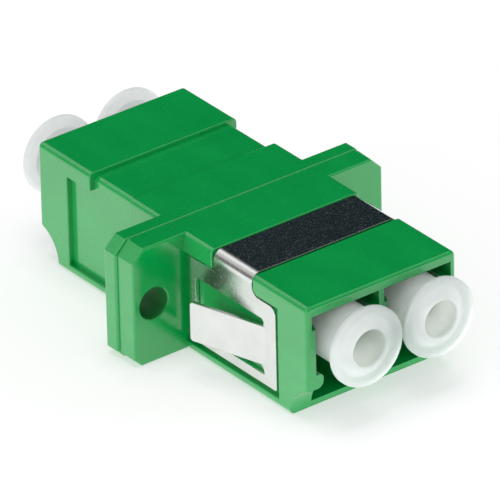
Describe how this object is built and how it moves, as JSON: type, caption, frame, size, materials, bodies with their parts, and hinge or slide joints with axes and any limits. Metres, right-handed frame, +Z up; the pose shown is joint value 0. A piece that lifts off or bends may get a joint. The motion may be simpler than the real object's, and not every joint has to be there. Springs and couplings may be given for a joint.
{
  "type": "fibre optic adapter",
  "caption": "Duplex LC fibre adapter with a screw flange, a sprung steel panel clip and pull-out dust caps in its ports; it joins pairs of fibre plugs through a panel.",
  "frame": {"origin": "midway between the two screw holes, on the flange's front face, which lies on the panel", "axes": "+X across the flange, +Y towards the rear ports along the fibres, +Z up, away from the latch side"},
  "size_m": [0.0222, 0.0361, 0.0092],
  "materials": {
    "housing_plastic": "satin moulded",
    "clip_steel": "bright rolled spring steel",
    "sleeve_ceramic": "ground",
    "cap_plastic": "soft, slightly translucent"
  },
  "bodies": {
    "adapter": {"front_housing": "housing_plastic", "rear_housing": "housing_plastic", "panel_clip": "clip_steel", "left_sleeve": "sleeve_ceramic", "right_sleeve": "sleeve_ceramic"},
    "front_left_cap": {"front_left_cap": "cap_plastic"},
    "front_right_cap": {"front_right_cap": "cap_plastic"},
    "rear_left_cap": {"rear_left_cap": "cap_plastic"},
    "rear_right_cap": {"rear_right_cap": "cap_plastic"}
  },
  "joints": [
    {"name": "front_left_cap_pull", "type": "slide", "parent": "adapter", "child": "front_left_cap", "axis": [0, -1, 0], "range_m": [0, 0.009]},
    {"name": "front_right_cap_pull", "type": "slide", "parent": "adapter", "child": "front_right_cap", "axis": [0, -1, 0], "range_m": [0, 0.009]},
    {"name": "rear_left_cap_pull", "type": "slide", "parent": "adapter", "child": "rear_left_cap", "axis": [0, 1, 0], "range_m": [0, 0.009]},
    {"name": "rear_right_cap_pull", "type": "slide", "parent": "adapter", "child": "rear_right_cap", "axis": [0, 1, 0], "range_m": [0, 0.009]}
  ]
}
